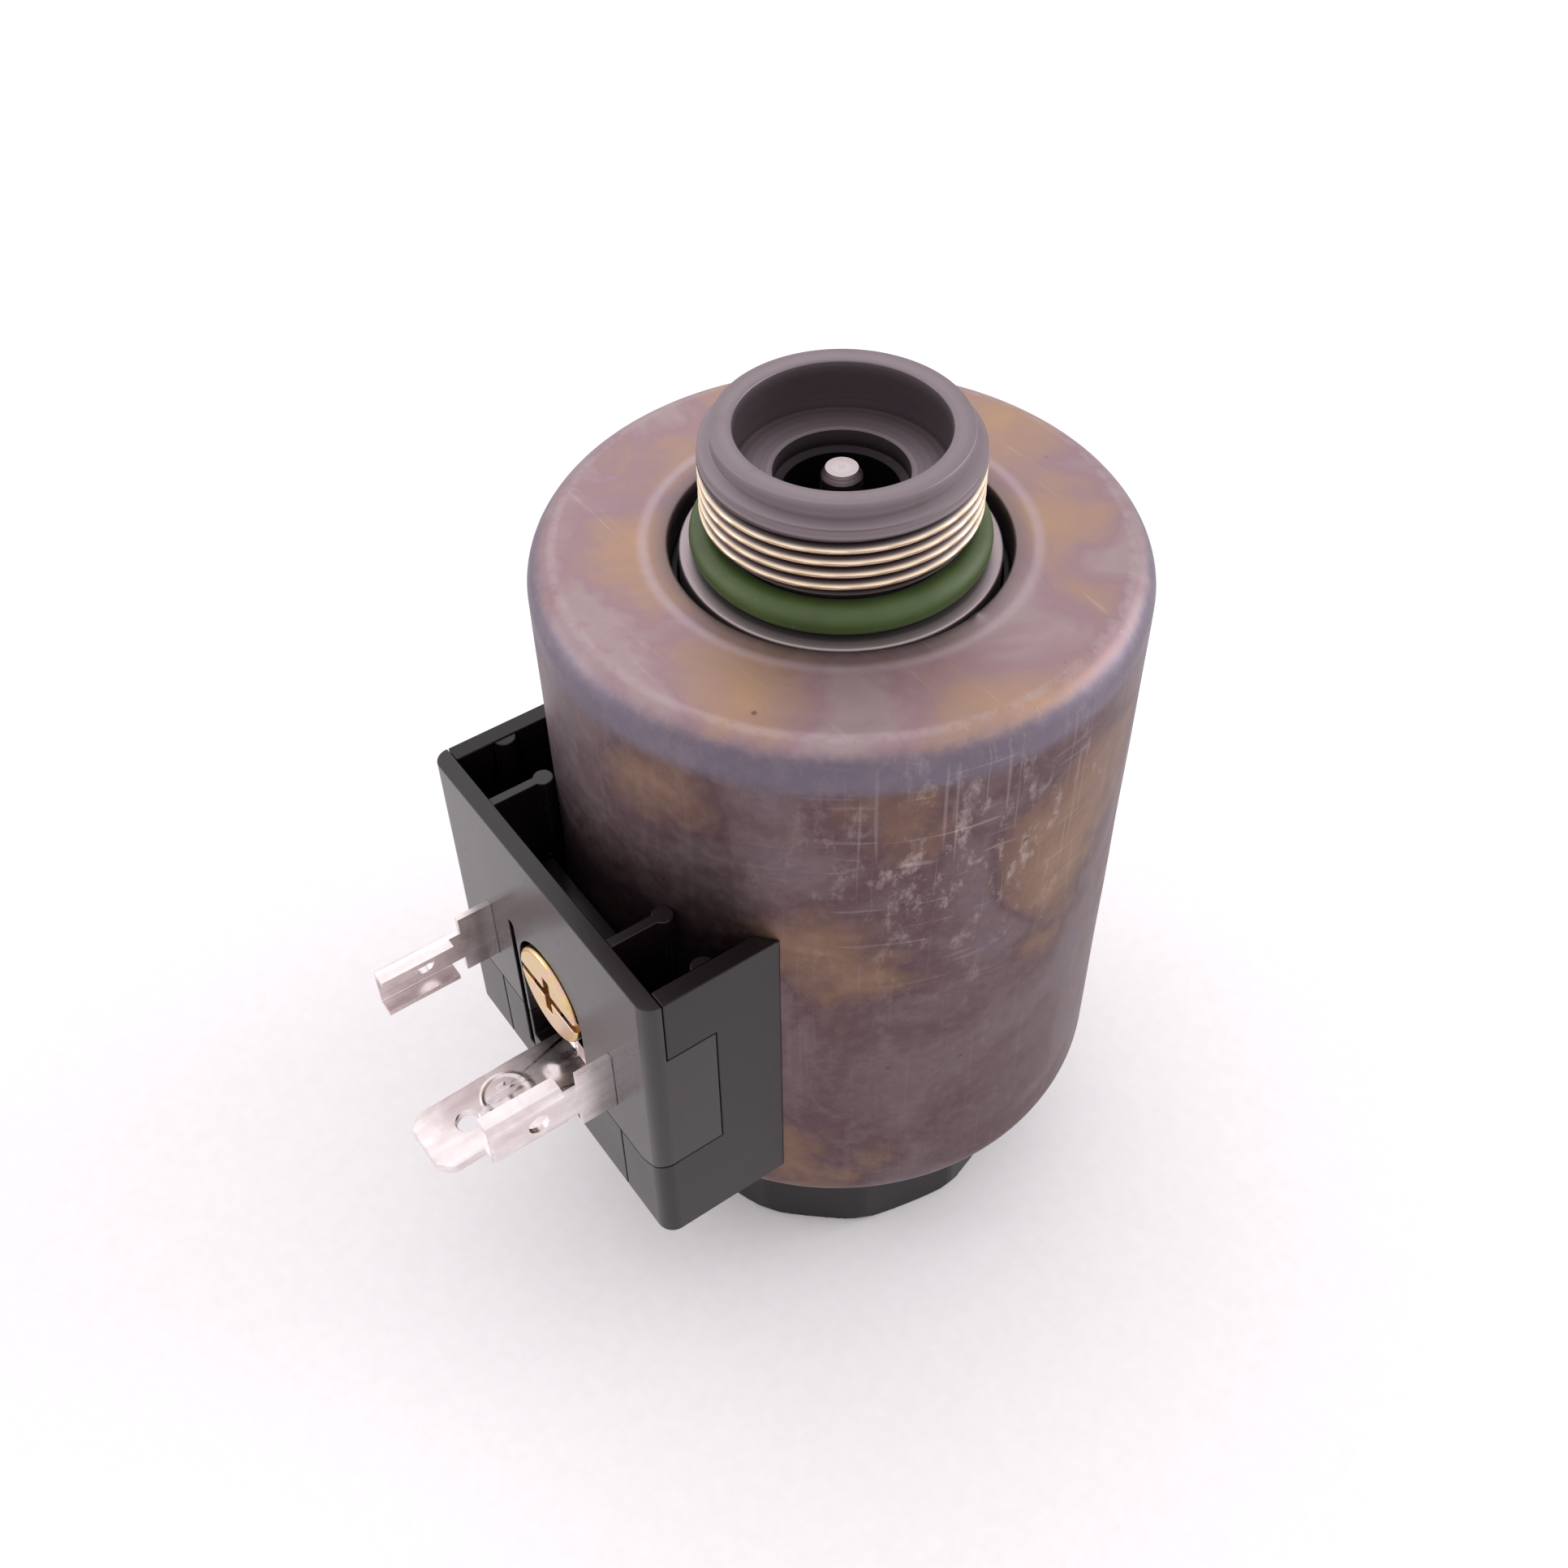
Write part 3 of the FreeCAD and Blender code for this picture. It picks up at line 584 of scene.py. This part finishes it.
DENTS = [(-33.8, -34.5, 0.55, 0.10), (-0.4, -33.8, 0.9, 0.07), (10.7, -14.3, 1.0, 0.06),
         (-26.0, -26.4, 0.7, 0.06), (-60.0, -20.0, 1.2, 0.05), (8.0, -19.7, 0.6, 0.08),
         (150.0, -12.0, 1.1, 0.08), (210.0, -33.0, 0.9, 0.07)]


def can_points(columns=384):
    """Turns the outline round the axis. Waves: three sines of angle and height, 0.02 mm high.
    Dents on the side: bell-shaped, as (degrees, height, width, depth)."""
    outline = can_outline()
    angle = np.arange(columns) * 2 * pi / columns
    radius = np.repeat(outline[:, :1], columns, axis=1)
    height = np.repeat(outline[:, 1:], columns, axis=1)
    on_side = (radius > 22.0) * soft_step(-height, 1.5, 3.0)
    wave = np.sin(3 * angle + 0.11 * height) + np.sin(7 * angle - 0.3 * height) * 0.5
    wave = wave + np.sin(2 * angle + 0.45 * height + 1.0) * 0.6
    radius = radius + on_side * wave * 0.018
    for degrees, level, width, depth in DENTS:
        around = ((angle - radians(degrees) + pi) % (2 * pi) - pi) * CAN_R
        radius = radius - on_side * depth * bell(np.hypot(around, height - level), width)
    on_top = (height > 0.3) * (radius < 20.4)
    x, y = radius * np.cos(angle), radius * np.sin(angle)
    sink = 0.06 * bell(radius - 12.35, 0.40)
    lip = 0.03 * bell(radius - 14.0, 0.45)
    dish = 0.03 * np.sin(2 * angle + 0.6) + 0.02 * np.sin(5 * angle + radius * 0.4)
    dish = dish * soft_step(radius, 14.5, 16.0) * soft_step(20.3 - radius, 0.0, 1.5)
    mark = np.hypot(x - 19.9, y + 4.93)
    burr = 0.30 * bell(np.hypot(x - 12.6, y - 2.1), 0.35)
    ring = 0.06 * bell(mark - 0.34, 0.14)
    height = height + on_top * (lip + dish + burr - sink - ring)
    return np.stack([x, y, height], axis=-1)


piece_from_grid("can", can_points(), CAN_STEEL, "can_steel", "coil", "coil_housing")

# %% [markdown]
# ## The spigot
# The solid model has plain grooves for a thread. A real thread is one groove wound round, so here
# the groove's place along the axis also depends on the angle: it climbs one pitch per turn. The
# groove fades out at both ends, into the relief below and the plain land above.

# %% Spigot
CREST_R, ROOT_R, PITCH = 10.0, 9.39, 1.0
CREST_HALF, FLANK = 0.10, 0.36      # half the flat crest, and the flank's length along the axis
THREAD_START = radians(-35)         # angle at which a crest stands at a whole millimetre
FEED = 0.32                         # from one turning mark to the next on the bore's ledge


def spigot_outline():
    """(r, z) of the whole turned part, thread zone as a straight line at the crest radius."""
    return np.concatenate([
        line((1.98, -19.0), (10.1, -19.0), 2.0), arc((10.0, -18.6), 0.4, -90, 0, 5)[:-1],
        line((10.4, -18.6), (10.4, -13.0), 2.0), line((10.4, -13.0), (11.6, -13.0), 1.0),
        line((11.6, -13.0), (11.6, -0.2), 1.2), arc((11.4, -0.2), 0.2, 0, 90, 6)[:-1],
        line((11.4, 0.0), (8.5, 0.0), 0.3), line((8.35, 0.15), (8.35, 2.8), 0.4),
        line((8.5, 2.95), (ROOT_R, 2.95), 0.3), line((ROOT_R, 2.95), (CREST_R, 8.0), 0.045),
        line((CREST_R, 8.0), (CREST_R, 8.12), 0.06), line((9.93, 8.2), (9.9, 8.58), 0.12),
        line((9.9, 8.62), (9.82, 8.68), 0.1), line((9.82, 8.68), (9.9, 8.74), 0.1),
        line((9.9, 8.74), (9.05, 9.0), 0.2), line((9.05, 9.0), (9.05, 10.03), 0.25),
        arc((8.93, 10.03), 0.12, 0, 90, 5)[:-1], line((8.93, 10.15), (7.65, 10.15), 0.25),
        arc((7.65, 10.0), 0.15, 90, 180, 5)[:-1], line((7.5, 10.0), (7.5, 7.1), 0.4),
        line((7.5, 7.1), (7.62, 7.0), 0.2), line((7.62, 7.0), (7.62, 6.3), 0.3),
        line((7.62, 6.3), (4.9, 6.2), 0.16), line((4.83, 6.17), (4.8, 4.9), 0.4),
        line((4.8, 4.9), (4.2, 4.7), 0.3), line((4.2, 4.7), (4.2, -8.0), 2.0),
        line((4.2, -8.0), (3.0, -8.0), 1.0), line((3.0, -8.0), (3.0, -17.5), 3.0),
        line((3.0, -17.5), (1.98, -17.5), 1.0), line((1.98, -17.5), (1.98, -19.0), 1.0)])


def spigot_points(columns=320):
    """In the thread zone r = crest - depth * V(phase). The phase is height less one pitch per turn,
    and V is 0 on the flat crest and 1 at the root."""
    outline = spigot_outline()
    angle = np.arange(columns) * 2 * pi / columns
    radius = np.repeat(outline[:, :1], columns, axis=1)
    height = np.repeat(outline[:, 1:], columns, axis=1)
    phase = (height - PITCH * (angle - THREAD_START) / (2 * pi)) % PITCH
    off_crest = np.minimum(phase, PITCH - phase)
    groove = np.clip((off_crest - CREST_HALF) / FLANK, 0, 1)
    threaded = CREST_R - (CREST_R - ROOT_R) * groove * soft_step(8.05 - height, 0.05, 0.30)
    run_out = soft_step(height, 3.35, 3.75)
    threaded = ROOT_R * (1 - run_out) + threaded * run_out
    in_zone = (height > 2.96) & (height < 8.1) & (radius > 9.2)
    radius = np.where(in_zone, threaded, radius)
    turning = 0.012 * np.sin((radius - 4.8) * 2 * pi / FEED)
    on_ledge = (height > 6.1) & (height < 6.35) & (radius < 7.7)
    height = height + on_ledge * turning
    return np.stack([radius * np.cos(angle), radius * np.sin(angle), height], axis=-1)


piece_from_grid("spigot", spigot_points(), TURNED_STEEL, "turned_steel",
                "armature_tube_assembly", "spigot_body")

# %% [markdown]
# ## The ground blade
# The blade is one strip of tinned sheet with a hole near its tip, a raised earth sign, a
# stiffening bead over the bend and an upright foot under the screw. It is worked out flat: each
# column joins a point of the hole to a point of the outline, and each row is a step across the
# strip's section. The flat strip is then carried along a path that turns up by a right angle.

# %% Blade
BLADE_TOP, BLADE_T, TIP_Y, FOOT_Y = -41.4, 0.8, -40.6, -25.5
BEND_R = 0.75
HOLE_AT, HOLE_R = np.array([0, 4.0]), 0.95      # on the flat strip, 4 mm from the tip


def blade_outline(count=420):
    """Outline of the flat strip as (x, s), counterclockwise. s is measured along the strip from
    the tip, and the foot ends in a half circle."""
    half, chamfer, waist, shoulder = 3.15, 1.1, 18.2, 19.4
    centre, foot_r = 24.5, 3.9
    right = [(half - chamfer, 0.0), (half, chamfer), (half, waist), (foot_r, shoulder)]
    turn = arc((0, centre), foot_r, 0, 180, 40)
    left = [(-x, s) for x, s in reversed(right)]
    corners = np.concatenate([right, turn, left, right[:1]])
    length = np.concatenate([[0], np.cumsum(np.hypot(*np.diff(corners, axis=0).T))])
    at = np.arange(count) * length[-1] / count
    return np.stack([np.interp(at, length, corners[:, side]) for side in (0, 1)], axis=-1)


def carried(x, s, h):
    """Place of a flat point. Before the bend the path runs along +Y, then a quarter circle of
    BEND_R, then up. h is the height above the strip's middle."""
    flat_length = FOOT_Y - BEND_R - TIP_Y
    quarter = BEND_R * pi / 2
    turn = np.clip((s - flat_length) / quarter, 0, 1) * pi / 2
    middle_z = BLADE_TOP - BLADE_T / 2
    y = TIP_Y + np.minimum(s, flat_length) + BEND_R * np.sin(turn) - h * np.sin(turn)
    upright = np.maximum(s - flat_length - quarter, 0)
    z = middle_z + BEND_R * (1 - np.cos(turn)) + upright + h * np.cos(turn)
    return np.stack([x, y, z], axis=-1)


def earth_sign(x, s):
    """Height of the raised sign: a ring, an upright bar and three level bars, each shorter."""
    u, v = x + 0.3, s - 7.7
    far = np.hypot(u, v)
    sign = bell(far - 2.0, 0.13)
    for level, half in ((0.1, 1.1), (-0.45, 0.75), (-1.0, 0.4)):
        sign = np.maximum(sign, bell(u - level, 0.12) * (np.abs(v) < half))
    upright = bell(v, 0.12) * (u > 0.1) * (u < 1.5)
    return 0.09 * np.maximum(sign, upright) * (far < 2.3)


def blade_points():
    """Rows go over the top from hole to outline, round the edge, back below and up the hole."""
    outer = blade_outline()
    count = len(outer)
    offset = outer - HOLE_AT
    hole = HOLE_AT + HOLE_R * offset / np.linalg.norm(offset, axis=1)[:, None]
    reach = np.linalg.norm(outer - hole, axis=1)
    ease = 0.10 / reach
    half_t = BLADE_T / 2
    across = np.linspace(0, 1, 90)[:, None] * (1 - 2 * ease) + ease
    top = [(share, half_t) for share in across]
    edge = [(1 - 0.3 * ease, half_t - 0.03), (np.ones(count), half_t - 0.10),
            (np.ones(count), 0.10 - half_t), (1 - 0.3 * ease, 0.03 - half_t)]
    bottom = [(share, -half_t) for share in across[::-6]]
    wall = [(0 * ease, 0.10 - half_t), (0 * ease, half_t - 0.10)]
    section = top + edge + bottom + wall
    share = np.array([row[0] for row in section])
    height = np.repeat(np.array([row[1] for row in section])[:, None], count, axis=1)
    flat = hole + (outer - hole) * share[..., None]
    x, s = flat[..., 0], flat[..., 1]
    upper = height > half_t - 0.02
    bead = 0.45 * bell(x, 0.62) * soft_step(s, 11.2, 12.4) * soft_step(18.2 - s, 0.0, 1.4)
    droop = -0.0035 * np.clip(11.0 - s, 0, None) ** 2
    height = height + upper * (bead + earth_sign(x, s)) + droop
    return carried(x, s, height)[::-1]


piece_from_grid("earth_blade", blade_points(), TIN, "tinned_brass", "coil", "ground_blade")

# %% [markdown]
# ## Moulded and stamped parts with eased edges
# No moulded or stamped edge is perfectly sharp, and it is the thin line of light along an eased
# edge that makes it look real. The shape of these parts is right already. A copy of each has its
# loose triangles joined, its flat faces merged, and a narrow bevel on every edge sharper than 35
# degrees. The contacts have edges shorter than the bevel needs, so theirs may narrow to fit.

# %% Eased copies


def eased(node, piece_name, width, paint, slot, body, tight=False):
    """Copy of a carried-over node with all its sharp edges rounded by width, in millimetres.
    tight narrows the bevel where it would run over a short edge."""
    shape = bmesh.new()
    shape.from_mesh(nodes[node].data)
    bmesh.ops.remove_doubles(shape, verts=shape.verts, dist=0.002 * MM)
    bmesh.ops.dissolve_limit(shape, angle_limit=radians(0.6), verts=shape.verts, edges=shape.edges)
    mesh = bpy.data.meshes.new(piece_name)
    shape.to_mesh(mesh)
    shape.free()
    for layer in ("custom_normal", "sharp_edge", "sharp_face"):
        if layer in mesh.attributes:
            mesh.attributes.remove(mesh.attributes[layer])
    mesh.materials.clear()
    mesh.materials.append(paint)
    thing = bpy.data.objects.new(piece_name, mesh)
    bpy.context.scene.collection.objects.link(thing)
    bevel = thing.modifiers.new("ease", "BEVEL")
    bevel.width = width * MM
    bevel.segments = 2
    bevel.limit_method = "ANGLE"
    bevel.angle_limit = radians(35)
    bevel.use_clamp_overlap = tight
    bevel.harden_normals = True
    flat = thing.modifiers.new("flat", "WEIGHTED_NORMAL")
    flat.keep_sharp = True
    mesh.polygons.foreach_set("use_smooth", np.ones(len(mesh.polygons), bool))
    settled = thing.evaluated_get(bpy.context.evaluated_depsgraph_get())
    made = bpy.data.meshes.new_from_object(settled)
    thing.modifiers.clear()
    thing.data = made
    made.name = piece_name
    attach(thing, body)
    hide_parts(node)
    print(piece_name, len(made.polygons), "faces")


EASED = [("connector_shell", "connector_box", 0.10, CONNECTOR, "black_nylon", "coil"),
         ("terminal_block", "terminal_face", 0.07, FACE_PLATE, "black_nylon", "coil"),
         ("contact_pin_left", "contact_left", 0.05, TIN, "tinned_brass", "coil", True),
         ("contact_pin_right", "contact_right", 0.05, TIN, "tinned_brass", "coil", True),
         ("ground_screw", "earth_screw", 0.07, ZINC, "yellow_zinc", "coil"),
         ("coil_nut", "nut", 0.12, NUT_PLASTIC, "nut_plastic", "nut")]
for row in EASED:
    eased(*row)

# %% [markdown]
# ## Floor
# A plain pale sheet under the nut.

# %% Floor
floor_mesh = bpy.data.meshes.new("floor")
FLOOR_HALF = 3.0
floor_z = cad_low.z
corners = [(-FLOOR_HALF, -FLOOR_HALF, floor_z), (FLOOR_HALF, -FLOOR_HALF, floor_z),
           (FLOOR_HALF, FLOOR_HALF, floor_z), (-FLOOR_HALF, FLOOR_HALF, floor_z)]
floor_mesh.from_pydata(corners, [], [(0, 1, 2, 3)])
floor = bpy.data.objects.new("floor", floor_mesh)
bpy.context.scene.collection.objects.link(floor)


def paper(place):
    tooth = noise(place, 800, 3, 0.6)
    colour = ramp(tooth, (0.3, (0.90, 0.89, 0.90)), (0.7, (0.93, 0.92, 0.93)))
    return {"Base Color": colour, "Roughness": 0.8, "height": tooth, "depth": 0.01}


floor_mesh.materials.append(finish("paper", paper))
